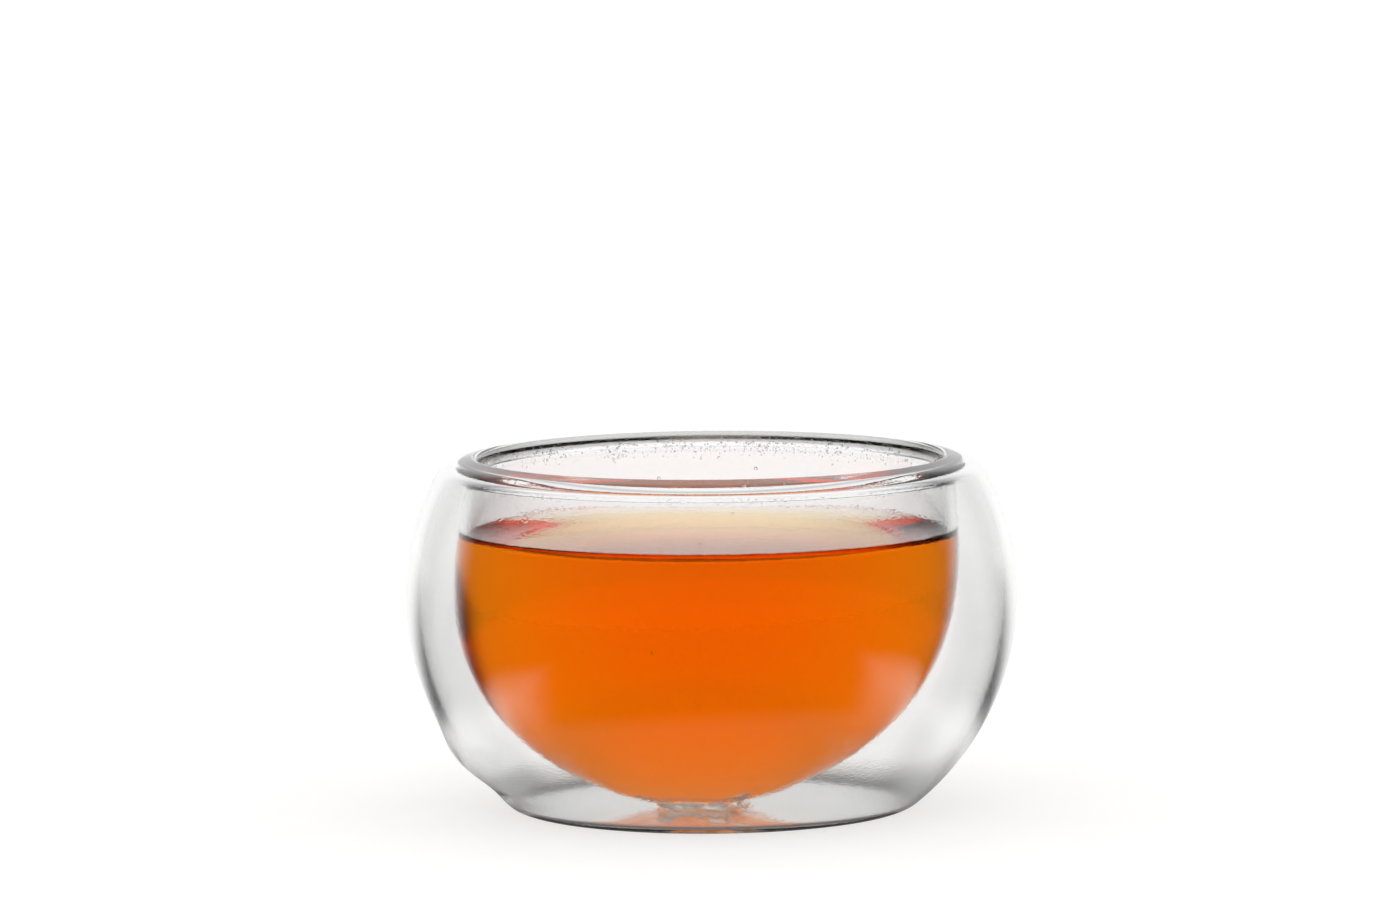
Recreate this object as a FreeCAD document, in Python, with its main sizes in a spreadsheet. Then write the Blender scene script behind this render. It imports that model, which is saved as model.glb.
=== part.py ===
import FreeCAD, Part
import math
import os
import Sketcher

# A blown double-walled glass cup with a black tea drink in it.
# Z is up, the origin is the centre of the foot on the table, sizes are in millimetres.
# The cup is one piece of glass: an outer jacket and an inner bowl, fused at the rim,
# with sealed air between them. The bowl hangs from the rim and leans a little to -X.

doc = FreeCAD.newDocument("TeaGlass")

# The sizes that drive the model.
sheet = doc.addObject("Spreadsheet::Sheet", "size")
driving = [
    ("cupHeight", 52.0, "table to the crest of the lip"),
    ("bellyRadius", 45.0, "widest radius of the jacket"),
    ("bellyHeight", 31.4, "height of the jacket's widest place"),
    ("footRadius", 29.3, "where the jacket's side would meet the table if the heel were sharp"),
    ("heelRound", 4.0, "rounding of the heel"),
    ("crownReach", 2.9, "from the inside of the lip out to the centre of the shoulder"),
    ("shoulderRound", 4.0, "radius where the belly turns into the crown"),
    ("crownSlope", 11.0, "fall of the crown away from the lip, degrees"),
    ("jacketWall", 2.0, "glass thickness of the jacket"),
    ("baseWall", 1.2, "glass thickness of the base plate"),
    ("cornerInset", 0.2, "lower corner of the sealed space, inside the foot's"),
    ("cornerRound", 3.0, "rounding of that corner"),
    ("sideGap", 5.8, "sealed space between jacket and bowl at their widest"),
    ("neckIn", 3.1, "inside of the lip, in from the bowl's widest outside"),
    ("lipRound", 1.0, "rounding of the lip"),
    ("lipHeight", 2.6, "straight collar from the neck up to the crest of the lip"),
    ("bowlDrop", 16.0, "from the neck down to the bowl's widest place"),
    ("bowlTurn", 51.6, "how far the bowl's side turns under before its bottom begins, degrees"),
    ("bowlWall", 1.5, "glass thickness of the bowl"),
    ("bowlLean", 3.0, "lean of the bowl, degrees"),
    ("floorGap", 0.35, "sealed space under the bowl"),
    ("brimRoom", 12.8, "from the crest of the lip down to the level of the drink"),
    ("meniscusReach", 2.8, "width of the ring of drink that climbs the glass"),
    ("meniscusCurve", 3.0, "radius of that climbing ring"),
]
for row, (alias, value, note) in enumerate(driving, start=1):
    sheet.set("A%d" % row, alias)
    sheet.set("B%d" % row, str(value))
    sheet.set("C%d" % row, note)
    sheet.setAlias("B%d" % row, alias)
doc.recompute()
size = {alias: float(sheet.get(alias)) for alias, value, note in driving}

# The bowl and its mouth take their radii from the jacket and the gaps between.
bowlRadius = "(size.bellyRadius - size.jacketWall - size.sideGap)"
openingRadius = "(size.bellyRadius - size.jacketWall - size.sideGap - size.neckIn)"


def worth(expression):
    """What an expression of the sheet's sizes comes to."""
    return float(sheet.evalExpression(expression))


# Small helpers for profiles.
def newBody(name):
    return doc.addObject("PartDesign::Body", name)


def profileOn(body, name):
    """An empty sketch on the body's own XZ plane: sketch x is the radius, y is the height."""
    sketch = body.newObject("Sketcher::SketchObject", name)
    plane = [item for item in body.Origin.OriginFeatures if item.Role == "XZ_Plane"][0]
    sketch.AttachmentSupport = [(plane, "")]
    sketch.MapMode = "FlatFace"
    return sketch


def line(sketch, start, end):
    a, b = FreeCAD.Vector(*start, 0), FreeCAD.Vector(*end, 0)
    return sketch.addGeometry(Part.LineSegment(a, b), False)


def arc(sketch, centre, start, end):
    """An arc counterclockwise from start to end, as seen on the sketch."""
    spot = FreeCAD.Vector(*centre, 0)
    radius = math.hypot(start[0] - centre[0], start[1] - centre[1])
    circle = Part.Circle(spot, FreeCAD.Vector(0, 0, 1), radius)
    first = math.atan2(start[1] - centre[1], start[0] - centre[0])
    last = math.atan2(end[1] - centre[1], end[0] - centre[0])
    if last < first:
        last += 2 * math.pi
    return sketch.addGeometry(Part.ArcOfCircle(circle, first, last), False)


def fix(sketch, name, expression, kind, *where):
    """A size constraint that follows the sheet."""
    value = worth(expression)
    index = sketch.addConstraint(Sketcher.Constraint(kind, *where, value))
    sketch.renameConstraint(index, name)
    sketch.setExpression("Constraints." + name, expression)


def tie(sketch, kind, *where):
    sketch.addConstraint(Sketcher.Constraint(kind, *where))


def place(sketch, name, item, point, radius, height):
    """Holds one point of an item at a radius and a height; None leaves that one free."""
    if radius is not None:
        fix(sketch, name + "Radius", radius, "DistanceX", -1, 1, item, point)
    if height is not None:
        fix(sketch, name + "Height", height, "DistanceY", -1, 1, item, point)


def join(sketch, kind, items):
    """Joins the end of each item to the start of the next."""
    for item, other in zip(items, items[1:]):
        tie(sketch, kind, item, 2, other, 1)


def spin(body, sketch, name):
    """A full turn of the profile about the body's own upright axis."""
    turned = body.newObject("PartDesign::Revolution", name)
    turned.Profile = sketch
    turned.ReferenceAxis = (sketch, ["V_Axis"])
    turned.Angle = 360
    sketch.Visibility = False
    return turned


def edgeNear(shape, radius, height):
    """Number of the closed round edge that passes nearest to a radius and a height."""
    def miss(edge):
        if edge.Degenerated:
            return math.inf
        spots = edge.discretize(13)
        return max(math.hypot(math.hypot(spot.x, spot.y) - radius, spot.z - height) for spot in spots)

    misses = [miss(edge) for edge in shape.Edges]
    return misses.index(min(misses)) + 1


def roundCorner(body, turned, name, radius, height, rounding):
    """Rounds the turned form's edge at a radius and a height."""
    doc.recompute()
    corner = body.newObject("PartDesign::Fillet", name)
    corner.Base = (turned, ["Edge%d" % edgeNear(turned.Shape, worth(radius), worth(height))])
    corner.Radius = worth(rounding)
    corner.setExpression("Radius", rounding)
    return corner


# The jacket: its outside form, and the room inside it.
def jacketProfile(body, name, wall, floor, foot):
    """Half outline of the jacket: floor, side, upper side, shoulder, crown. wall sets it inwards."""
    sketch = profileOn(body, name)
    slope = "size.crownSlope * 1 deg"
    lipHeight = "size.cupHeight + size.lipRound * (1 / cos(%s) - 1 + 2 * tan(%s)) - %s / cos(%s)"
    lipHeight = lipHeight % (slope, slope, wall, slope)
    fall = math.radians(size["crownSlope"])
    footSpot = (worth(foot), worth(floor))
    widest = (size["bellyRadius"] - worth(wall), size["bellyHeight"])
    inwards = widest[0] - footSpot[0]
    rise = widest[1] - footSpot[1]
    sideCentre = (widest[0] - (inwards ** 2 + rise ** 2) / (2 * inwards), widest[1])
    lipSpot = (worth(openingRadius) - size["lipRound"], worth(lipHeight))
    shoulderRadius = size["shoulderRound"] - worth(wall)
    crownRun = size["crownReach"] + size["lipRound"]
    shoulderCentre = (lipSpot[0] + crownRun,
                      lipSpot[1] - crownRun * math.tan(fall) - shoulderRadius / math.cos(fall))
    across = shoulderCentre[0] - widest[0]
    up = shoulderCentre[1] - widest[1]
    upperRadius = (shoulderRadius ** 2 - across ** 2 - up ** 2) / (2 * (across + shoulderRadius))
    upperCentre = (widest[0] - upperRadius, widest[1])
    facing = math.atan2(up, shoulderCentre[0] - upperCentre[0])
    shoulderStart = (shoulderCentre[0] + shoulderRadius * math.cos(facing),
                     shoulderCentre[1] + shoulderRadius * math.sin(facing))
    shoulderEnd = (shoulderCentre[0] + shoulderRadius * math.sin(fall),
                   shoulderCentre[1] + shoulderRadius * math.cos(fall))
    floorLine = line(sketch, (0, footSpot[1]), footSpot)
    sideArc = arc(sketch, sideCentre, footSpot, widest)
    upperArc = arc(sketch, upperCentre, widest, shoulderStart)
    shoulderArc = arc(sketch, shoulderCentre, shoulderStart, shoulderEnd)
    crownLine = line(sketch, shoulderEnd, lipSpot)
    topLine = line(sketch, lipSpot, (0, lipSpot[1]))
    axisLine = line(sketch, (0, lipSpot[1]), (0, footSpot[1]))
    join(sketch, "Coincident", [axisLine, floorLine, sideArc, upperArc])
    join(sketch, "Tangent", [upperArc, shoulderArc, crownLine])
    join(sketch, "Coincident", [crownLine, topLine, axisLine])
    tie(sketch, "PointOnObject", floorLine, 1, -2)
    tie(sketch, "Vertical", axisLine)
    tie(sketch, "Horizontal", topLine)
    tie(sketch, "Horizontal", floorLine)
    place(sketch, "foot", floorLine, 2, foot, floor)
    place(sketch, "widest", sideArc, 2, "size.bellyRadius - " + wall, "size.bellyHeight")
    place(sketch, "sideCentre", sideArc, 3, None, "size.bellyHeight")
    place(sketch, "upperCentre", upperArc, 3, None, "size.bellyHeight")
    place(sketch, "shoulder", shoulderArc, 3, openingRadius + " + size.crownReach", None)
    fix(sketch, "shoulderRound", "size.shoulderRound - " + wall, "Radius", shoulderArc)
    place(sketch, "lip", crownLine, 2, openingRadius + " - size.lipRound", lipHeight)
    fix(sketch, "crownSlope", "180 deg - " + slope, "Angle", crownLine)
    return sketch


jacketForm = newBody("jacketForm")
jacketOutline = jacketProfile(jacketForm, "jacketOutline", "0", "0", "size.footRadius")
jacketTurn = spin(jacketForm, jacketOutline, "jacketTurn")
roundCorner(jacketForm, jacketTurn, "heel", "size.footRadius", "0", "size.heelRound")

roomCorner = "size.footRadius - size.cornerInset"
jacketRoom = newBody("jacketRoom")
roomOutline = jacketProfile(jacketRoom, "roomOutline", "size.jacketWall", "size.baseWall", roomCorner)
roomTurn = spin(jacketRoom, roomOutline, "roomTurn")
roundCorner(jacketRoom, roomTurn, "roomCorner", roomCorner, "size.baseWall", "size.cornerRound")


# The bowl: its outside form, and the room for the drink.
# Both are drawn from the neck, where the bowl hangs and about which it leans.
def bowlProfile(body, name, wall, rise):
    """Half outline of the bowl below and above the neck. wall sets it inwards."""
    sketch = profileOn(body, name)
    turn = math.radians(size["bowlTurn"])
    widest = (worth(bowlRadius), -size["bowlDrop"])
    bottom = (0.0, size["baseWall"] + size["floorGap"] + size["lipHeight"] - size["cupHeight"])
    apart = (widest[0] + bottom[1] - widest[1]) / (math.cos(turn) + math.sin(turn) - 1)
    sideRadius = widest[0] - apart * math.cos(turn)
    sideCentre = (widest[0] - sideRadius, widest[1])
    sideStart = (sideCentre[0] + sideRadius * math.cos(turn), widest[1] - sideRadius * math.sin(turn))
    bottomCentre = (0.0, widest[1] + apart * math.sin(turn))
    neckSpot = (worth(openingRadius) + size["bowlWall"], 0.0)
    neckCentre = (-widest[0], widest[1])
    topSpot = (neckSpot[0], size["lipHeight"])
    bottomArc = arc(sketch, bottomCentre, bottom, sideStart)
    sideArc = arc(sketch, sideCentre, sideStart, widest)
    neckArc = arc(sketch, neckCentre, widest, neckSpot)
    turnLine = line(sketch, sideStart, sideCentre)
    sketch.setConstruction(turnLine, True)
    collarLine = line(sketch, neckSpot, topSpot)
    topLine = line(sketch, topSpot, (0, topSpot[1]))
    axisLine = line(sketch, (0, topSpot[1]), bottom)
    join(sketch, "Coincident", [axisLine, bottomArc])
    join(sketch, "Tangent", [bottomArc, sideArc])
    join(sketch, "Coincident", [sideArc, neckArc, collarLine, topLine, axisLine])
    tie(sketch, "PointOnObject", bottomArc, 3, -2)
    tie(sketch, "PointOnObject", bottomArc, 1, -2)
    tie(sketch, "Vertical", axisLine)
    tie(sketch, "Vertical", collarLine)
    tie(sketch, "Horizontal", topLine)
    below = "-size.bowlDrop"
    place(sketch, "bottom", bottomArc, 1, None,
          "size.baseWall + size.floorGap + size.lipHeight - size.cupHeight + " + wall)
    place(sketch, "sideCentre", sideArc, 3, None, below)
    tie(sketch, "Coincident", turnLine, 1, sideArc, 1)
    tie(sketch, "Coincident", turnLine, 2, sideArc, 3)
    fix(sketch, "bowlTurn", "180 deg - size.bowlTurn * 1 deg", "Angle", turnLine)
    place(sketch, "widest", sideArc, 2, bowlRadius + " - " + wall, below)
    place(sketch, "neckCentre", neckArc, 3, None, below)
    place(sketch, "neck", neckArc, 2, openingRadius + " + size.bowlWall - " + wall, None)
    tie(sketch, "PointOnObject", neckArc, 2, -1)
    place(sketch, "top", collarLine, 2, None, rise)
    return sketch


def hangFromNeck(body):
    """Moves a form up to the neck and leans it about there."""
    body.Placement = FreeCAD.Placement(FreeCAD.Vector(), FreeCAD.Rotation(FreeCAD.Vector(0, 1, 0), 1))
    body.setExpression("Placement.Base.z", "size.cupHeight - size.lipHeight")
    body.setExpression("Placement.Rotation.Angle", "size.bowlLean * 1 deg")


bowlForm = newBody("bowlForm")
spin(bowlForm, bowlProfile(bowlForm, "bowlOutline", "0", "size.lipHeight"), "bowlTurn")
hangFromNeck(bowlForm)

drinkRoom = newBody("drinkRoom")
drinkOutline = bowlProfile(drinkRoom, "drinkOutline", "size.bowlWall", "2 * size.lipHeight")
spin(drinkRoom, drinkOutline, "drinkTurn")
hangFromNeck(drinkRoom)


# The glass: the jacket less the sealed space, opened for the drink.
def combine(kind, name, base, tool):
    result = doc.addObject(kind, name)
    result.Base = base
    result.Tool = tool
    return result


sealedSpace = combine("Part::Cut", "sealedSpace", jacketRoom, bowlForm)
blownForm = combine("Part::Cut", "blownForm", jacketForm, sealedSpace)
openedForm = combine("Part::Cut", "openedForm", blownForm, drinkRoom)
doc.recompute()

glass = doc.addObject("Part::Fillet", "glass")
glass.Base = openedForm
lipEdge = edgeNear(openedForm.Shape, worth(openingRadius), size["cupHeight"])
glass.Edges = [(lipEdge, size["lipRound"], size["lipRound"])]
glass.Label = "glass"


# The drink: it fills its room up to the level, and climbs the glass at its rim.
levelForm = newBody("levelForm")
levelSketch = profileOn(levelForm, "levelOutline")
flatEdge = bowlRadius + " - size.bowlWall - size.meniscusReach"
teaLevel = "(size.cupHeight - size.brimRoom)"
flatRadius = worth(flatEdge)
climbCentre = (flatRadius, size["meniscusCurve"])
climbTop = (flatRadius + size["meniscusCurve"], size["meniscusCurve"])
outerRadius = worth(bowlRadius) + size["meniscusCurve"]
floorLevel = -worth(teaLevel)
levelLine = line(levelSketch, (0, 0), (flatRadius, 0))
climbArc = arc(levelSketch, climbCentre, (flatRadius, 0), climbTop)
brimLine = line(levelSketch, climbTop, (outerRadius, climbTop[1]))
sideLine = line(levelSketch, (outerRadius, climbTop[1]), (outerRadius, floorLevel))
underLine = line(levelSketch, (outerRadius, floorLevel), (0, floorLevel))
middleLine = line(levelSketch, (0, floorLevel), (0, 0))
join(levelSketch, "Coincident", [middleLine, levelLine])
join(levelSketch, "Tangent", [levelLine, climbArc])
join(levelSketch, "Coincident", [climbArc, brimLine, sideLine, underLine, middleLine])
for flat in (levelLine, brimLine, underLine):
    tie(levelSketch, "Horizontal", flat)
for upright in (sideLine, middleLine):
    tie(levelSketch, "Vertical", upright)
tie(levelSketch, "Coincident", levelLine, 1, -1, 1)
place(levelSketch, "flat", levelLine, 2, flatEdge, None)
fix(levelSketch, "climb", "size.meniscusCurve", "Radius", climbArc)
place(levelSketch, "climbTop", climbArc, 2, None, "size.meniscusCurve")
place(levelSketch, "outer", sideLine, 2, bowlRadius + " + size.meniscusCurve", "-" + teaLevel)
spin(levelForm, levelSketch, "levelTurn")
levelForm.setExpression("Placement.Base.z", teaLevel)
levelForm.setExpression("Placement.Base.x",
                        "(size.lipHeight - size.brimRoom) * sin(size.bowlLean * 1 deg)")

tea = combine("Part::Common", "tea", drinkRoom, levelForm)
tea.Label = "tea"
doc.recompute()


# Checks and export.
for item in doc.Objects:
    if "Invalid" in item.State or "Error" in item.State:
        raise RuntimeError("failed: " + item.Name)

os.makedirs("parts", exist_ok=True)
for item in (glass, tea):
    shape = item.Shape
    if shape.isNull() or not shape.isValid() or len(shape.Solids) != 1:
        raise RuntimeError("not one good solid: " + item.Label)
    shape.exportStep("parts/%s.step" % item.Label)
    box = shape.BoundBox
    print(item.Label, "volume %.0f mm3" % shape.Volume, "shells", len(shape.Shells),
          "box %.2f %.2f %.2f to %.2f %.2f %.2f"
          % (box.XMin, box.YMin, box.ZMin, box.XMax, box.YMax, box.ZMax))
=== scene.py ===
import math
import random

import bpy
import bmesh
from mathutils import Matrix, Vector, noise


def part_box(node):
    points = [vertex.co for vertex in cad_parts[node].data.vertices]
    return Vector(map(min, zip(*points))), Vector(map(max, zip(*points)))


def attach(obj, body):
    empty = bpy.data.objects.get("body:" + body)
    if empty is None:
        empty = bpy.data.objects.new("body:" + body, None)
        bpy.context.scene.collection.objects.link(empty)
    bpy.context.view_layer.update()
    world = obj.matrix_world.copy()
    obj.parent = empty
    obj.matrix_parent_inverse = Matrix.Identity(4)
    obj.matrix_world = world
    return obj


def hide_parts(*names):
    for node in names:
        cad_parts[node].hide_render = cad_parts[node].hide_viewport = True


# A blown double-walled glass cup of black tea, with condensation under its lip.
# The frame gives the cup's outer sizes, and everything else is in millimetres until it becomes a mesh.

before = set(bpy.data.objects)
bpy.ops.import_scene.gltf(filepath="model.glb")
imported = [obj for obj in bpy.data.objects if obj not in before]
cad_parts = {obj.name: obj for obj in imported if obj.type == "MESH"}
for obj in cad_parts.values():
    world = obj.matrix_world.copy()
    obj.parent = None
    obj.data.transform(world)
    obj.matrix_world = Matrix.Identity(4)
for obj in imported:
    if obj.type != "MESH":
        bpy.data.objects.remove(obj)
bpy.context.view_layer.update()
glassLow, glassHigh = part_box("glass")
mm = 0.001
print("frame loaded")


def hexToLinear(code):
    # sRGB hex to the linear colour that the nodes want
    channels = [int(code[i:i + 2], 16) / 255 for i in (1, 3, 5)]
    linear = [c / 12.92 if c <= 0.04045 else ((c + 0.055) / 1.055) ** 2.4 for c in channels]
    return (*linear, 1.0)


def addNode(tree, kind, settings=None, links=None):
    # settings are properties or socket values; a link is a node, or (node, output) where it isn't the first
    node = tree.nodes.new(kind)
    for name, value in (settings or {}).items():
        if isinstance(name, int) or name in node.inputs:
            node.inputs[name].default_value = value
        else:
            setattr(node, name, value)
    for name, source in (links or {}).items():
        source, output = source if isinstance(source, tuple) else (source, 0)
        tree.links.new(source.outputs[output], node.inputs[name])
    return node


# The cup's cross-section. An outline is a list of (radius, height, lean): lean is 1 on the bowl,
# which leans, and 0 on the jacket.
cup = {
    "height": (glassHigh.z - glassLow.z) / mm,
    "bellyRadius": (glassHigh.x - glassLow.x) / 2 / mm,
    "bellyHeight": 31.4,      # where the jacket is widest
    "footRadius": 29.3,       # where the jacket's side would meet the table if the heel were sharp
    "heelRound": 4.0,
    "crownReach": 2.9,        # from the inside of the lip out to the shoulder's centre
    "shoulderRound": 4.0,
    "crownSlope": math.radians(11),
    "jacketWall": 2.0,
    "baseWall": 1.2,
    "cornerInset": 0.2,       # the sealed space's lower corner, inside the foot's
    "cornerRound": 3.0,
    "openingRadius": 34.1,
    "lipRound": 1.0,
    "lipHeight": 2.6,         # neck to crest
    "bowlRadius": 37.2,
    "bowlHeight": 33.4,       # where the bowl is widest
    "bowlTurn": math.radians(51.6),       # the side turns this far under, and there the bottom begins
    "bowlWall": 1.5,
    "bowlLean": math.radians(3.0),
    "floorGap": 0.35,         # sealed space under the bowl
    "weldRadius": 6.0,        # where the bowl was pressed onto the base plate while soft
    "bowlEasing": (4.0, 46.0, 60),        # from and to which height a curve is eased, and how often
    "lipEasing": (47.5, 50.8, 12),
    "ceilingEasing": (48.0, 60.0, 8),
    "turns": 240,             # facets round the cup
}

# how far apart the points of an outline stand
spacing = {"wall": 0.6, "corner": 0.3, "lip": 0.12, "crown": 0.4, "base": 0.8, "weld": 0.2, "flat": 1.5}


def arcPoints(centre, radius, first, last, step=spacing["wall"]):
    count = max(3, round(abs(last - first) * radius / step))
    angles = [first + (last - first) * i / count for i in range(count + 1)]
    return [(centre[0] + radius * math.cos(a), centre[1] + radius * math.sin(a)) for a in angles]


def linePoints(start, end, step):
    count = max(1, round(math.dist(start, end) / step))
    return [(start[0] + (end[0] - start[0]) * i / count,
             start[1] + (end[1] - start[1]) * i / count) for i in range(count + 1)]


def eased(points, low, high, rounds):
    # rounds off a corner: points between two heights move towards their neighbours' middle
    points = list(points)
    for _ in range(rounds):
        moved = list(points)
        for i in range(1, len(points) - 1):
            if low < points[i][1] < high:
                moved[i] = tuple((a + 2 * b + c) / 4
                                 for a, b, c in zip(points[i - 1], points[i], points[i + 1]))
        points = moved
    return points


def jacketCurve(c, inset, foot, floor, corner):
    # from the floor round the lower corner, up the side and over the shoulder to the crown
    widest = c["bellyRadius"] - inset
    inwards, rise = widest - foot, c["bellyHeight"] - floor
    sideRadius = (inwards ** 2 + rise ** 2) / (2 * inwards)
    side = (widest - sideRadius, c["bellyHeight"])
    reach = sideRadius - corner
    low = (side[0] + math.sqrt(reach ** 2 - (floor + corner - side[1]) ** 2), floor + corner)
    lowAngle = math.atan2(low[1] - side[1], low[0] - side[0])

    slope = c["crownSlope"]
    rim = (c["openingRadius"] + c["lipRound"], c["height"] + c["lipRound"] * (1 / math.cos(slope) - 1))
    out = c["openingRadius"] + c["crownReach"]
    bend = c["shoulderRound"]
    shoulder = (out, rim[1] - (bend + (out - rim[0]) * math.sin(slope)) / math.cos(slope))
    across, up = out - c["bellyRadius"], shoulder[1] - c["bellyHeight"]
    upperRadius = -(across ** 2 + up ** 2 - bend ** 2) / (2 * (across + bend))
    upper = (c["bellyRadius"] - upperRadius, c["bellyHeight"])
    turnAngle = math.atan2(shoulder[1] - upper[1], shoulder[0] - upper[0])
    return (arcPoints(low, corner, -math.pi / 2, lowAngle, spacing["corner"])
            + arcPoints(side, sideRadius, lowAngle, 0)[1:]
            + arcPoints(upper, upperRadius - inset, 0, turnAngle)[1:]
            + arcPoints(shoulder, bend - inset, turnAngle, math.pi / 2 - slope, spacing["corner"])[1:])


def bowlCurve(c, inset, top):
    # from the neck down the side of the bowl to its lowest point on the axis
    neckHeight = c["height"] - c["lipHeight"]
    neckRadius = c["openingRadius"] + c["bowlWall"] - inset
    widest = c["bowlRadius"] - inset
    rise, swell = neckHeight - c["bowlHeight"], widest - neckRadius
    neckArc = (rise ** 2 + swell ** 2) / (2 * swell)
    bottom = c["baseWall"] + c["floorGap"] + inset
    turn = c["bowlTurn"]
    apart = (widest - c["bowlHeight"] + bottom) / (math.cos(turn) + math.sin(turn) - 1)
    side = widest - apart * math.cos(turn)
    under = side + apart
    curve = (linePoints((neckRadius, top), (neckRadius, neckHeight), spacing["corner"])
             + arcPoints((widest - neckArc, c["bowlHeight"]), neckArc, math.asin(rise / neckArc), 0)[1:]
             + arcPoints((widest - side, c["bowlHeight"]), side, 0, -turn)[1:]
             + arcPoints((0, bottom + under), under, -turn, -math.pi / 2)[1:])
    return eased(curve, *c["bowlEasing"])


def withLean(points, lean):
    return [(radius, height, lean) for radius, height in points]


def skinOutline(c):
    # the outside of the glass: foot, jacket, lip, and down the bowl's inside to its middle
    jacket = jacketCurve(c, 0, c["footRadius"], 0, c["heelRound"])
    foot = linePoints((0, 0), jacket[0], spacing["flat"])
    lipCentre = (c["openingRadius"] + c["lipRound"], c["height"] - c["lipRound"])
    lip = arcPoints(lipCentre, c["lipRound"], math.pi / 2 - c["crownSlope"], math.pi, spacing["lip"])
    crown = linePoints(jacket[-1], lip[0], spacing["crown"])[1:-1]
    inside = eased(lip + bowlCurve(c, c["bowlWall"], lip[-1][1])[1:], *c["lipEasing"])
    return withLean(foot + jacket[1:] + crown, 0) + withLean(inside, 1)


def spaceOutline(c):
    # the sealed space between jacket and bowl: floor, jacket, bowl's outside, and back at the weld
    corner = c["footRadius"] - c["cornerInset"]
    jacket = jacketCurve(c, c["jacketWall"], corner, c["baseWall"], c["cornerRound"])
    neckRadius = c["openingRadius"] + c["bowlWall"]
    ceiling = jacket[-1][1] + (jacket[-1][0] - neckRadius) * math.tan(c["crownSlope"])
    crown = linePoints(jacket[-1], (neckRadius, ceiling), spacing["corner"])[1:]
    bowl = [spot for spot in bowlCurve(c, 0, ceiling)[1:] if spot[0] > c["weldRadius"]]
    floor = linePoints((c["weldRadius"], c["baseWall"]), jacket[0], spacing["base"])
    upper = eased(crown + bowl, *c["ceilingEasing"])
    weld = linePoints(upper[-1], floor[0], spacing["weld"])[1:-1]
    return withLean(floor + jacket[1:], 0) + withLean(upper + weld, 1)


def leanShift(c, height):
    # how far the leaning bowl's axis stands from the cup's axis at a height
    return math.tan(c["bowlLean"]) * min(0.0, height - (c["height"] - c["lipHeight"]))


def smoothMesh(name, vertices, faces):
    mesh = bpy.data.meshes.new(name)
    mesh.from_pydata([tuple(v * mm for v in vertex) for vertex in vertices], [], faces)
    mesh.polygons.foreach_set("use_smooth", [True] * len(mesh.polygons))
    mesh.update()
    return mesh


def ringPoints(spot, turns, shiftOf, unevenAt):
    # one point of an outline, carried round the axis
    radius, height, lean = spot
    shift = lean * shiftOf(height)
    points = []
    for j in range(turns):
        angle = 2 * math.pi * j / turns
        outward, upward = unevenAt(angle, radius, height, lean)
        r = radius + outward
        points.append((shift + r * math.cos(angle), r * math.sin(angle), height + upward))
    return points


def ringMesh(name, outline, turns, shiftOf, unevenAt):
    # turns an outline that keeps clear of the axis into one closed ring, facing its own inside
    vertices, faces = [], []
    for spot in outline:
        vertices += ringPoints(spot, turns, shiftOf, unevenAt)
    for i in range(len(outline)):
        a, b = i * turns, (i + 1) % len(outline) * turns
        for j in range(turns):
            k = (j + 1) % turns
            faces.append((b + j, b + k, a + k, a + j))
    return smoothMesh(name, vertices, faces)


def turnedMesh(name, outline, turns, shiftOf, unevenAt):
    # turns an outline that starts and ends on the axis into one closed mesh
    vertices, faces = [], []
    for radius, height, lean in outline:
        if radius < 1e-6:
            vertices.append((lean * shiftOf(height), 0.0, height + unevenAt(0, radius, height, lean)[1]))
        else:
            vertices += ringPoints((radius, height, lean), turns, shiftOf, unevenAt)
    rings = len(outline) - 2
    last = 1 + rings * turns
    for j in range(turns):
        k = (j + 1) % turns
        faces.append((0, 1 + k, 1 + j))
        for i in range(rings - 1):
            a = 1 + i * turns
            faces.append((a + j, a + k, a + turns + k, a + turns + j))
        faces.append((last, last - turns + j, last - turns + k))
    return smoothMesh(name, vertices, faces)


def newPiece(name, mesh):
    piece = bpy.data.objects.new(name, mesh)
    bpy.context.scene.collection.objects.link(piece)
    return piece


def joinMeshes(name, meshes):
    build = bmesh.new()
    for mesh in meshes:
        build.from_mesh(mesh)
        bpy.data.meshes.remove(mesh)
    joined = bpy.data.meshes.new(name)
    build.to_mesh(joined)
    build.free()
    joined.polygons.foreach_set("use_smooth", [True] * len(joined.polygons))
    return joined


blowing = {
    "waveHeight": 0.10,        # how far the blown walls wander
    "waveLength": 26.0,
    "skinSeed": 3.0,
    "spaceSeed": 3.2,
    "bowlSeed": 7,             # added on the bowl, so that it wanders apart from the jacket
    "flatFoot": (0.3, 3.0),    # no unevenness below this height, and all of it this much higher
    "calmMiddle": 5.0,         # inside this radius the unevenness fades away to the axis
    "dent": (math.pi, 3.6, -0.7, 0.45, 2.0),      # angle, height, depth, width in radians, height span
    "bulge": (math.pi, 8.0, 0.9, 0.5, 3.6),
    "weldEdge": 5.0,           # how ragged the pressed spot's edge is
    "weldLobes": 2.0,          # and how many lobes it has, roughly
    "weldReach": 16.0,         # the raggedness has faded out at this radius
}


def hump(angle, height, spot):
    # a soft swelling of the jacket at one place
    middle, level, depth, width, span = spot
    away = (angle - middle + math.pi) % (2 * math.pi) - math.pi
    return depth * math.exp(-(away / width) ** 2 - ((height - level) / span) ** 2)


def wander(angle, radius, height, seed, length):
    x, y = radius * math.cos(angle), radius * math.sin(angle)
    return noise.noise(Vector((x / length, y / length, height / length + seed)))


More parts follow.
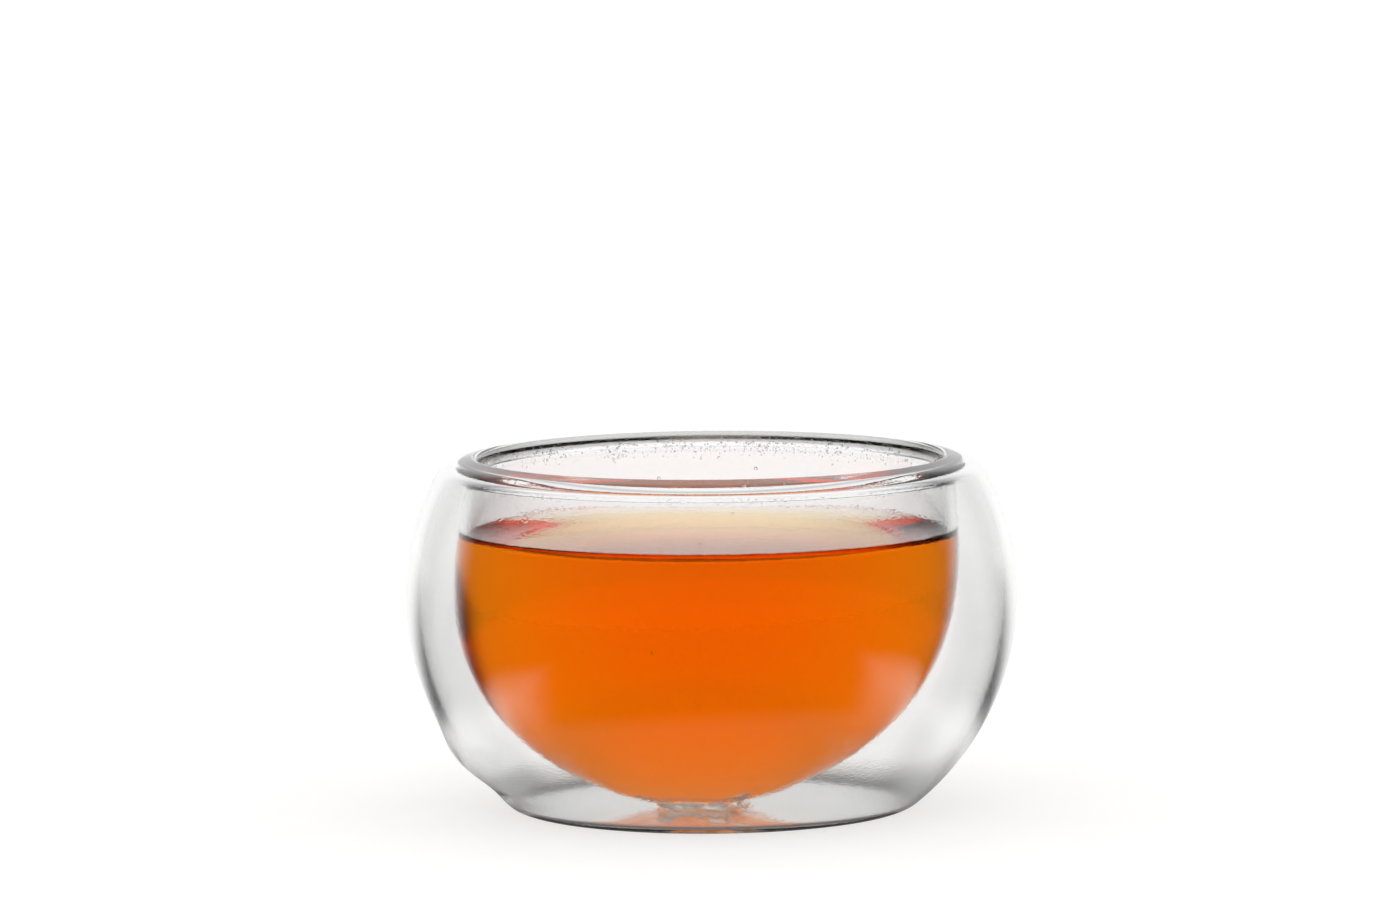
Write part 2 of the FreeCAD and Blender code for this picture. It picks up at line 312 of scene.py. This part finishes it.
def glassUneven(b, seed):
    footTop, rise = b["flatFoot"]
    lobes = b["weldLobes"]

    def unevenAt(angle, radius, height, lean):
        fade = min(1.0, max(0.0, (height - footTop) / rise))
        wave = wander(angle, radius, height, seed + b["bowlSeed"] * lean, b["waveLength"])
        outward = b["waveHeight"] * wave * fade
        if lean == 0:
            outward += hump(angle, height, b["dent"]) + hump(angle, height, b["bulge"])
        ragged = noise.noise(Vector((lobes * math.cos(angle), lobes * math.sin(angle), seed)))
        outward += b["weldEdge"] * ragged * max(0.0, 1 - radius / b["weldReach"])
        return outward * min(1.0, radius / b["calmMiddle"]), 0.0
    return unevenAt


def makeGlass(c, b):
    def shiftOf(height):
        return leanShift(c, height)

    skin = turnedMesh("skin", skinOutline(c), c["turns"], shiftOf, glassUneven(b, b["skinSeed"]))
    space = ringMesh("space", spaceOutline(c), c["turns"], shiftOf, glassUneven(b, b["spaceSeed"]))
    return newPiece("blownGlassCup", joinMeshes("blownGlassCup", [skin, space]))


glassPiece = makeGlass(cup, blowing)
print("glass made")


brew = {
    "level": 39.2,
    "climb": 2.0,             # height of the edge that climbs the glass
    "capillaryLength": 2.5,
    "edgeRings": 26,          # rings in that edge, closer together towards its foot
    "edgeCrowding": 2.2,
    "edgeEnd": 0.004,         # it counts as level once it is this low
    "intoWall": 0.12,         # how far the tea reaches into the glass, so that no air shows
}


def meniscusCurve(t, wallRadius):
    # from the wall inwards and down to the level, as surface tension bends it
    a, top = t["capillaryLength"], t["climb"]
    base = math.acosh(2 * a / top) - math.sqrt(4 - (top / a) ** 2)
    points = []
    for i in range(t["edgeRings"]):
        rise = top * (1 - i / t["edgeRings"]) ** t["edgeCrowding"] + t["edgeEnd"]
        away = a * (math.acosh(2 * a / rise) - math.sqrt(4 - (rise / a) ** 2) - base)
        points.append((wallRadius - away, t["level"] + rise))
    return points


def teaOutline(c, t):
    wall = bowlCurve(c, c["bowlWall"] - t["intoWall"], c["height"] - c["lipHeight"])
    below = [p for p in wall if p[1] < t["level"] + t["climb"]][::-1]
    surface = meniscusCurve(t, below[-1][0])
    flat = linePoints((surface[-1][0], t["level"]), (0, t["level"]), spacing["flat"])[1:]
    return withLean(below + surface + flat, 1)


def makeTea(c, t):
    def shiftOf(height):
        # the surface stays level, so all of it shifts as its middle does
        return leanShift(c, t["level"] if height > t["level"] - 0.01 else height)

    def steady(angle, radius, height, lean):
        return 0.0, 0.0

    return newPiece("blackTea", turnedMesh("blackTea", teaOutline(c, t), c["turns"], shiftOf, steady))


teaPiece = makeTea(cup, brew)
print("tea made")


# Steam has settled as a fog of fine beads on the inside of the lip, with a few larger ones
# lower down.
dew = {
    "seed": 11,
    "beads": 2600,
    "band": (47.6, 51.3),     # heights between which the fog settles
    "rows": 40,               # heights tried in that band
    "rowBias": (2.2, 1.6),    # above 1 both keep to the middle, and the first pulls up
    "jitter": 0.05,           # how far a bead strays from its row
    "size": (0.05, 0.17),     # radius of a bead
    "fineness": 2.5,          # higher makes more of them small
    "patchLength": 7.0,       # size of the denser and barer patches
    "patchRadius": 34,
    "patchSeed": 9.0,
    "patchShare": (0.55, 1.2),            # share of tries that settle, and how much patches change it
    "runs": 16,               # larger beads between the fog and the drink
    "runBand": (41.7, 48.0),
    "runSize": (0.14, 0.30),
    "flatness": 0.55,         # how far a bead stands out, as a share of its radius
    "sunk": 0.3,              # how far its back is in the wall
    "sides": 8,
    "rings": 3,
}


def wallRadiusAt(c, height):
    # radius of the bowl's inside, before it leans
    wall = [spot for spot in skinOutline(c) if spot[2] == 1 and spot[1] > c["height"] / 2]
    for upper, lower in zip(wall, wall[1:]):
        if upper[1] >= height >= lower[1]:
            share = (height - lower[1]) / max(1e-9, upper[1] - lower[1])
            return lower[0] + (upper[0] - lower[0]) * share
    return wall[0][0]


def addBead(vertices, faces, centre, outward, radius, d):
    # a flattened half ball whose flat back is sunk a little into the wall
    side = Vector((-outward.y, outward.x, 0.0)).normalized()
    up = outward.cross(side).normalized()
    sides, rings = d["sides"], d["rings"]
    first = len(vertices)
    vertices.append(centre + outward * radius * d["flatness"])
    for i in range(1, rings + 1):
        bend = math.pi / 2 * i / rings
        for j in range(sides):
            turn = 2 * math.pi * j / sides
            across = (side * math.cos(turn) + up * math.sin(turn)) * radius * math.sin(bend)
            vertices.append(centre + across + outward * radius * d["flatness"] * math.cos(bend))
    back = len(vertices)
    vertices.append(centre - outward * radius * d["sunk"])
    for j in range(sides):
        k = (j + 1) % sides
        faces.append((first, first + 1 + j, first + 1 + k))
        for i in range(rings - 1):
            a = first + 1 + i * sides
            faces.append((a + j, a + sides + j, a + sides + k, a + k))
        faces.append((back, back - sides + k, back - sides + j))


def makeDew(c, b, d):
    pick = random.Random(d["seed"])
    uneven = glassUneven(b, b["skinSeed"])
    bottom, top = d["band"]
    heights = [bottom + (top - bottom) * i / d["rows"] for i in range(d["rows"] + 1)]
    radii = {height: wallRadiusAt(c, height) for height in heights}
    vertices, faces = [], []

    def settle(angle, height, radius, wall):
        wall += uneven(angle, wall, height, 1)[0]
        spot = Vector((leanShift(c, height) + wall * math.cos(angle), wall * math.sin(angle), height))
        addBead(vertices, faces, spot, Vector((-math.cos(angle), -math.sin(angle), 0.0)), radius, d)

    made = 0
    while made < d["beads"]:
        angle = pick.uniform(0, 2 * math.pi)
        row = int(len(heights) * pick.betavariate(*d["rowBias"]))
        height = heights[min(d["rows"], row)]
        patch = wander(angle, d["patchRadius"], height, d["patchSeed"], d["patchLength"])
        usual, swing = d["patchShare"]
        if pick.random() < usual + swing * patch:
            small, large = d["size"]
            radius = small + (large - small) * pick.random() ** d["fineness"]
            settle(angle, height + pick.uniform(-d["jitter"], d["jitter"]), radius, radii[height])
            made += 1
    for _ in range(d["runs"]):
        height = pick.uniform(*d["runBand"])
        settle(pick.uniform(0, 2 * math.pi), height, pick.uniform(*d["runSize"]), wallRadiusAt(c, height))
    return newPiece("dewBeads", smoothMesh("dewBeads", vertices, faces))


# The finest tea dust floats in the lower half of the drink.
dust = {
    "seed": 4,
    "grains": 70,
    "band": (6.0, 27.0),
    "size": (0.04, 0.10),
    "width": (0.4, 1.0),      # a crumb's width and thickness as shares of its length
    "thickness": (0.4, 0.9),
    "ballRadius": 34.0,       # a ball that fits the bowl, and the height of its middle
    "ballHeight": 36.0,
    "clear": 0.8,             # share of that ball's width in which the dust floats
}


def makeDust(c, d):
    pick = random.Random(d["seed"])
    build = bmesh.new()
    for _ in range(d["grains"]):
        height = pick.uniform(*d["band"])
        reach = d["clear"] * math.sqrt(max(0.0, d["ballRadius"] ** 2 - (d["ballHeight"] - height) ** 2))
        angle, radius = pick.uniform(0, 2 * math.pi), reach * math.sqrt(pick.random())
        x, y = leanShift(c, height) + radius * math.cos(angle), radius * math.sin(angle)
        spot = Vector((x, y, height)) * mm
        size = pick.uniform(*d["size"]) * mm
        stretch = Matrix.Diagonal((1.0, pick.uniform(*d["width"]), pick.uniform(*d["thickness"]), 1.0))
        turn = Matrix.Rotation(pick.uniform(0, math.pi), 4, Vector([pick.uniform(-1, 1) for _ in range(3)]))
        bmesh.ops.create_icosphere(build, subdivisions=1, radius=size,
                                   matrix=Matrix.Translation(spot) @ turn @ stretch)
    mesh = bpy.data.meshes.new("teaDust")
    build.to_mesh(mesh)
    build.free()
    return newPiece("teaDust", mesh)


dewPiece = makeDew(cup, blowing, dew)
dustPiece = makeDust(cup, dust)
print("dew and dust made")


def newMaterial(name):
    material = bpy.data.materials.new(name)
    material.use_nodes = True
    material.node_tree.nodes.clear()
    output = addNode(material.node_tree, "ShaderNodeOutputMaterial")
    return material, material.node_tree, output


def clearMaterial(name, m):
    # something clear with a fine ripple on it, and a tint that deepens with the way light takes
    material, tree, output = newMaterial(name)
    grain = addNode(tree, "ShaderNodeTexNoise", {"Scale": m["rippleScale"], "Detail": 1.0})
    bump = addNode(tree, "ShaderNodeBump", {"Distance": m["ripple"]}, {"Height": grain})
    shader = addNode(tree, "ShaderNodeBsdfPrincipled", {
        "Base Color": hexToLinear("#ffffff"), "Roughness": 0.0, "IOR": m["ior"],
        "Transmission Weight": 1.0}, {"Normal": bump})
    tree.links.new(shader.outputs["BSDF"], output.inputs["Surface"])
    if "tint" in m:
        inside = addNode(tree, "ShaderNodeVolumeAbsorption", {
            "Color": hexToLinear(m["tint"]), "Density": m["tintPerMetre"]})
        tree.links.new(inside.outputs["Volume"], output.inputs["Volume"])
    return material


# Borosilicate glass, blown and fire-polished: very clear and glossy, with a ripple that bends
# what is behind it, and a faint grey-green where the eye looks along a wall.
borosilicate = {
    "ior": 1.474,
    "tint": "#5c7466",
    "tintPerMetre": 3.5,
    "ripple": 0.004 * mm,     # height of the fine unevenness that blowing leaves
    "rippleScale": 90 / 0.5625,           # the cup's width over a ripple's length, in millimetres
}

# Black tea, brewed and clear: water's IOR and a still, glossy surface, and a colour that deepens
# from yellow to red-brown with the length that light travels in it.
tea = {
    "ior": 1.333,
    "tint": "#ffe418",
    "tintPerMetre": 122.0,
    "ripple": 0.002 * mm,
    "rippleScale": 72 / 0.6,              # the drink's width over a ripple's length
}

# Condensed steam: clean water that has settled in beads, clear and sharp, which sparkle.
water = {
    "ior": 1.333,
    "ripple": 0.001 * mm,
    "rippleScale": 70 / 0.028,            # the lip's width over a ripple's length
}

# Tea dust: crumbs of leaf, rolled, broken and wet, nearly black and lighter where they are torn.
leaf = {
    "wet": "#24120a",
    "torn": "#5a3216",
    "roughness": 0.6,
    "grainScale": 54 / 0.009,             # the drink's width down there over a leaf cell's
}


def leafMaterial(l):
    material, tree, output = newMaterial("teaLeafDust")
    grain = addNode(tree, "ShaderNodeTexNoise", {"Scale": l["grainScale"], "Detail": 2.0})
    colour = addNode(tree, "ShaderNodeMix", {
        "data_type": "RGBA", 6: hexToLinear(l["wet"]), 7: hexToLinear(l["torn"])}, {0: grain})
    shader = addNode(tree, "ShaderNodeBsdfPrincipled", {"Roughness": l["roughness"]}, {
        "Base Color": (colour, 2)})
    tree.links.new(shader.outputs["BSDF"], output.inputs["Surface"])
    return material


dewPiece.data.materials.append(clearMaterial("condensedWater", water))
dustPiece.data.materials.append(leafMaterial(leaf))
glassPiece.data.materials.append(clearMaterial("borosilicateGlass", borosilicate))
teaPiece.data.materials.append(clearMaterial("blackTeaClear", tea))

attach(glassPiece, "root")
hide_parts("glass")
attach(teaPiece, "root")
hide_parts("tea")
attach(dewPiece, "root")
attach(dustPiece, "root")
print("materials made")


# A plain white sweep all round at strength 1. Clear glass also sees darker walls to either side
# and, where it mirrors once, a dark room in front, so that no veil lies over the tea. Seen by way of
# the cup, the floor has painted shade and painted dark reflections to match. Spans are
# from and to: of a direction's X, Y or Z, or of metres from the cup's axis.
studio = {
    "room": 0.006,                # light from the dark room, as a share of the sweep's
    "sweepEdge": (0.64, 0.95),    # how far towards the sweep a mirrored ray must point to see white
    "boxEdge": (0.45, 0.70),      # and how far up
    "rightWall": (0.58, 0.80, 0.92),      # from, to, and how dark
    "leftWall": (-0.72, -0.93, 0.72),
    "paintedSideShadeBegin": (0.12, 0.35),   # metres to the side at which painted shade starts to darken the floor seen by way of the cup
    "backFloor": (0.6, 0.95),     # floor behind the cup, which stays white when mirrored
    "frontFloor": (-0.1, -0.5),   # floor in front, painted dark where it is mirrored
    "sideFloor": (0.048, 0.078),  # and so is the rest from here outwards,
    "footFloor": (0.031, 0.040),  # but not what is under the foot
    "underCup": (0.028, 0.065),   # painted shade under the cup, and how bright the floor is painted there and far off
    "floorThrough": (0.20, 1.0),
    "floorColor": "#fbfafa",
    "floorGrain": "#fefefd",
    "floorGrainScale": 900.0,     # over a floor 12 m wide, so clouds of about 13 mm
    "floorPaint": 0.40,           # share of the floor's white that takes shadow
    "floorGlow": 0.68,            # and share that comes through it from below
    "floorHalf": 6.0,
    "floorBelow": 0.00005,        # a hair under the foot
}


def fading(span):
    # settings of a soft step from 0 to 1 over a span
    return {"From Min": span[0], "From Max": span[1], "interpolation_type": "SMOOTHSTEP"}


def lightPaths(tree):
    # looks that come here by way of the cup, those mirrored just once, and those never mirrored
    path = addNode(tree, "ShaderNodeLightPath")
    unscattered = addNode(tree, "ShaderNodeMath", {"operation": "LESS_THAN", 1: 0.5}, {
        0: (path, "Diffuse Depth")})
    bent = addNode(tree, "ShaderNodeMath", {"operation": "MAXIMUM"}, {
        0: (path, "Is Glossy Ray"), 1: (path, "Is Transmission Ray")})
    viaCup = addNode(tree, "ShaderNodeMath", {"operation": "MULTIPLY"}, {0: unscattered, 1: bent})
    once = addNode(tree, "ShaderNodeMath", {"operation": "COMPARE", 1: 1.0, 2: 0.5}, {
        0: (path, "Glossy Depth")})
    never = addNode(tree, "ShaderNodeMath", {"operation": "LESS_THAN", 1: 0.5}, {
        0: (path, "Glossy Depth")})
    mirroredOnce = addNode(tree, "ShaderNodeMath", {"operation": "MULTIPLY"}, {0: viaCup, 1: once})
    return viaCup, mirroredOnce, never


def sideWalls(tree, s, across):
    # how bright it is in a direction, with the dark walls to the right and left taken off
    dark = []
    for low, high, depth in (s["rightWall"], s["leftWall"]):
        edge = addNode(tree, "ShaderNodeMapRange", fading((low, high)), {"Value": across})
        dark.append(addNode(tree, "ShaderNodeMath", {"operation": "MULTIPLY", 1: depth}, {0: edge}))
    darker = addNode(tree, "ShaderNodeMath", {"operation": "MAXIMUM"}, {0: dark[0], 1: dark[1]})
    return addNode(tree, "ShaderNodeMath", {"operation": "SUBTRACT", 0: 1.0}, {1: darker})


def makeWorld(s):
    world = bpy.data.worlds.new("studioWorld")
    world.use_nodes = True
    tree = world.node_tree
    tree.nodes.clear()
    output = addNode(tree, "ShaderNodeOutputWorld")
    place = addNode(tree, "ShaderNodeTexCoord")
    toward = addNode(tree, "ShaderNodeSeparateXYZ", None, {0: (place, "Generated")})
    viaCup, mirroredOnce, _ = lightPaths(tree)
    through = sideWalls(tree, s, (toward, "X"))
    sweep = addNode(tree, "ShaderNodeMapRange", fading(s["sweepEdge"]), {"Value": (toward, "Y")})
    above = addNode(tree, "ShaderNodeMapRange", fading(s["boxEdge"]), {"Value": (toward, "Z")})
    bright = addNode(tree, "ShaderNodeMath", {"operation": "MAXIMUM"}, {0: sweep, 1: above})
    mirrored = addNode(tree, "ShaderNodeMath", {"operation": "MAXIMUM", 1: s["room"]}, {0: bright})
    look = addNode(tree, "ShaderNodeMix", None, {0: mirroredOnce, 2: through, 3: mirrored})
    strength = addNode(tree, "ShaderNodeMix", {2: 1.0}, {0: viaCup, 3: look})
    background = addNode(tree, "ShaderNodeBackground", {"Color": hexToLinear("#ffffff")}, {
        "Strength": strength})
    tree.links.new(background.outputs[0], output.inputs["Surface"])
    bpy.context.scene.world = world


def floorLook(tree, s, place):
    # how bright the floor is, which differs from 1 only where it is looked at by way of the cup; there it
    # carries painted shade and painted dark reflections
    spot = addNode(tree, "ShaderNodeSeparateXYZ", None, {0: place})
    unit = addNode(tree, "ShaderNodeVectorMath", {"operation": "NORMALIZE"}, {0: place})
    toward = addNode(tree, "ShaderNodeSeparateXYZ", None, {0: unit})
    away = addNode(tree, "ShaderNodeVectorMath", {"operation": "LENGTH"}, {0: place})
    viaCup, mirroredOnce, neverMirrored = lightPaths(tree)

    # painted dark reflection: where the cup mirrors the floor once, it is painted dark in front and from a
    # few centimetres out, but not behind the cup or next to its foot
    behind = addNode(tree, "ShaderNodeMapRange", fading(s["backFloor"]), {"Value": (toward, "Y")})
    aside = addNode(tree, "ShaderNodeMath", {"operation": "SUBTRACT", 0: 1.0}, {1: behind})
    inFront = addNode(tree, "ShaderNodeMapRange", fading(s["frontFloor"]), {"Value": (toward, "Y")})
    farther = addNode(tree, "ShaderNodeMapRange", fading(s["sideFloor"]), {"Value": (away, "Value")})
    dark = addNode(tree, "ShaderNodeMath", {"operation": "MAXIMUM"}, {0: inFront, 1: farther})
    pastFoot = addNode(tree, "ShaderNodeMapRange", fading(s["footFloor"]), {"Value": (away, "Value")})
    front = mirroredOnce
    for mask in (aside, dark, pastFoot):
        front = addNode(tree, "ShaderNodeMath", {"operation": "MULTIPLY"}, {0: front, 1: mask})
    clearOfPaintedDark = addNode(tree, "ShaderNodeMath", {"operation": "SUBTRACT", 0: 1.0}, {1: front})

    # painted shade: seen by way of the cup, the floor is painted darker towards the sides, as dark walls
    # there would leave it
    sideways = addNode(tree, "ShaderNodeMath", {"operation": "ABSOLUTE"}, {0: (spot, "X")})
    wide = addNode(tree, "ShaderNodeMapRange", fading(s["paintedSideShadeBegin"]), {"Value": sideways})
    paintedSideShade = addNode(tree, "ShaderNodeMix", {2: 1.0}, {0: wide, 3: sideWalls(tree, s, (toward, "X"))})

    # mirrored more than once, the floor keeps its white right up to the foot, without the painted shade
    atMostOnce = addNode(tree, "ShaderNodeMath", {"operation": "ADD"}, {0: mirroredOnce, 1: neverMirrored})
    often = addNode(tree, "ShaderNodeMath", {"operation": "SUBTRACT", 0: 1.0}, {1: atMostOnce})
    # painted shadow: under the cup the floor is painted down to a fifth of its white
    outside = addNode(tree, "ShaderNodeMapRange", fading(s["underCup"]), {"Value": (away, "Value")})
    clear = addNode(tree, "ShaderNodeMath", {"operation": "MAXIMUM"}, {0: outside, 1: often})
    paintedShadeUnderCup = addNode(tree, "ShaderNodeMix", {2: s["floorThrough"][0], 3: s["floorThrough"][1]}, {0: clear})

    look = paintedSideShade
    for mask in (clearOfPaintedDark, paintedShadeUnderCup):
        look = addNode(tree, "ShaderNodeMath", {"operation": "MULTIPLY"}, {0: look, 1: mask})
    return addNode(tree, "ShaderNodeMix", {2: 1.0}, {0: viaCup, 3: look})


# Heavy white paper, matt, with a faint cloudiness from its fibres. Seen by way of the cup it also carries
# painted shade and painted dark reflections.
def makeFloor(s):
    build = bmesh.new()
    bmesh.ops.create_grid(build, x_segments=8, y_segments=8, size=s["floorHalf"])
    mesh = bpy.data.meshes.new("studioFloor")
    build.to_mesh(mesh)
    build.free()
    floor = newPiece("studioFloor", mesh)
    floor.location.z = glassLow.z - s["floorBelow"]
    material, tree, output = newMaterial("paperSweepWithPaintedShade")
    place = addNode(tree, "ShaderNodeTexCoord")
    # painted shade and painted dark reflections, laid on the paint and the glow alike
    look = floorLook(tree, s, (place, "Object"))
    grain = addNode(tree, "ShaderNodeTexNoise", {"Scale": s["floorGrainScale"], "Detail": 3.0})
    fibre = addNode(tree, "ShaderNodeMix", {
        "data_type": "RGBA", 6: hexToLinear(s["floorColor"]), 7: hexToLinear(s["floorGrain"])}, {0: grain})
    share = addNode(tree, "ShaderNodeMath", {"operation": "MULTIPLY", 1: s["floorPaint"]}, {0: look})
    paint = addNode(tree, "ShaderNodeVectorMath", {"operation": "SCALE"}, {0: (fibre, 2), "Scale": share})
    diffuse = addNode(tree, "ShaderNodeBsdfDiffuse", None, {"Color": paint})
    shine = addNode(tree, "ShaderNodeMath", {"operation": "MULTIPLY", 1: s["floorGlow"]}, {0: look})
    glow = addNode(tree, "ShaderNodeEmission", None, {"Color": (fibre, 2), "Strength": shine})
    both = addNode(tree, "ShaderNodeAddShader", None, {0: diffuse, 1: glow})
    tree.links.new(both.outputs[0], output.inputs["Surface"])
    mesh.materials.append(material)


makeWorld(studio)
makeFloor(studio)
print("studio made")


view = {
    "place": (-0.0015, -1.1221, 0.1678),      # a long lens, a little over a metre away
    "lens": 197.4,
    "sensor": 36.0,
    "tilt": math.radians(5.944),
    "roll": math.radians(0.5),
    "near": 0.05,
}


def makeCamera(v):
    camera = bpy.data.objects.new("camera", bpy.data.cameras.new("camera"))
    bpy.context.scene.collection.objects.link(camera)
    camera.data.lens = v["lens"]
    camera.data.sensor_width = v["sensor"]
    camera.data.clip_start = v["near"]
    camera.location = v["place"]
    turn = Matrix.Rotation(math.pi / 2 - v["tilt"], 3, "X") @ Matrix.Rotation(-v["roll"], 3, "Z")
    camera.rotation_euler = turn.to_euler()
    bpy.context.scene.camera = camera


makeCamera(view)

scene = bpy.context.scene
scene.view_settings.view_transform = "Standard"
passes = 26                               # light is passed along inside the walls many times
scene.cycles.max_bounces = passes
scene.cycles.transmission_bounces = passes
scene.cycles.glossy_bounces = passes
scene.cycles.diffuse_bounces = 1

print("scene ready")
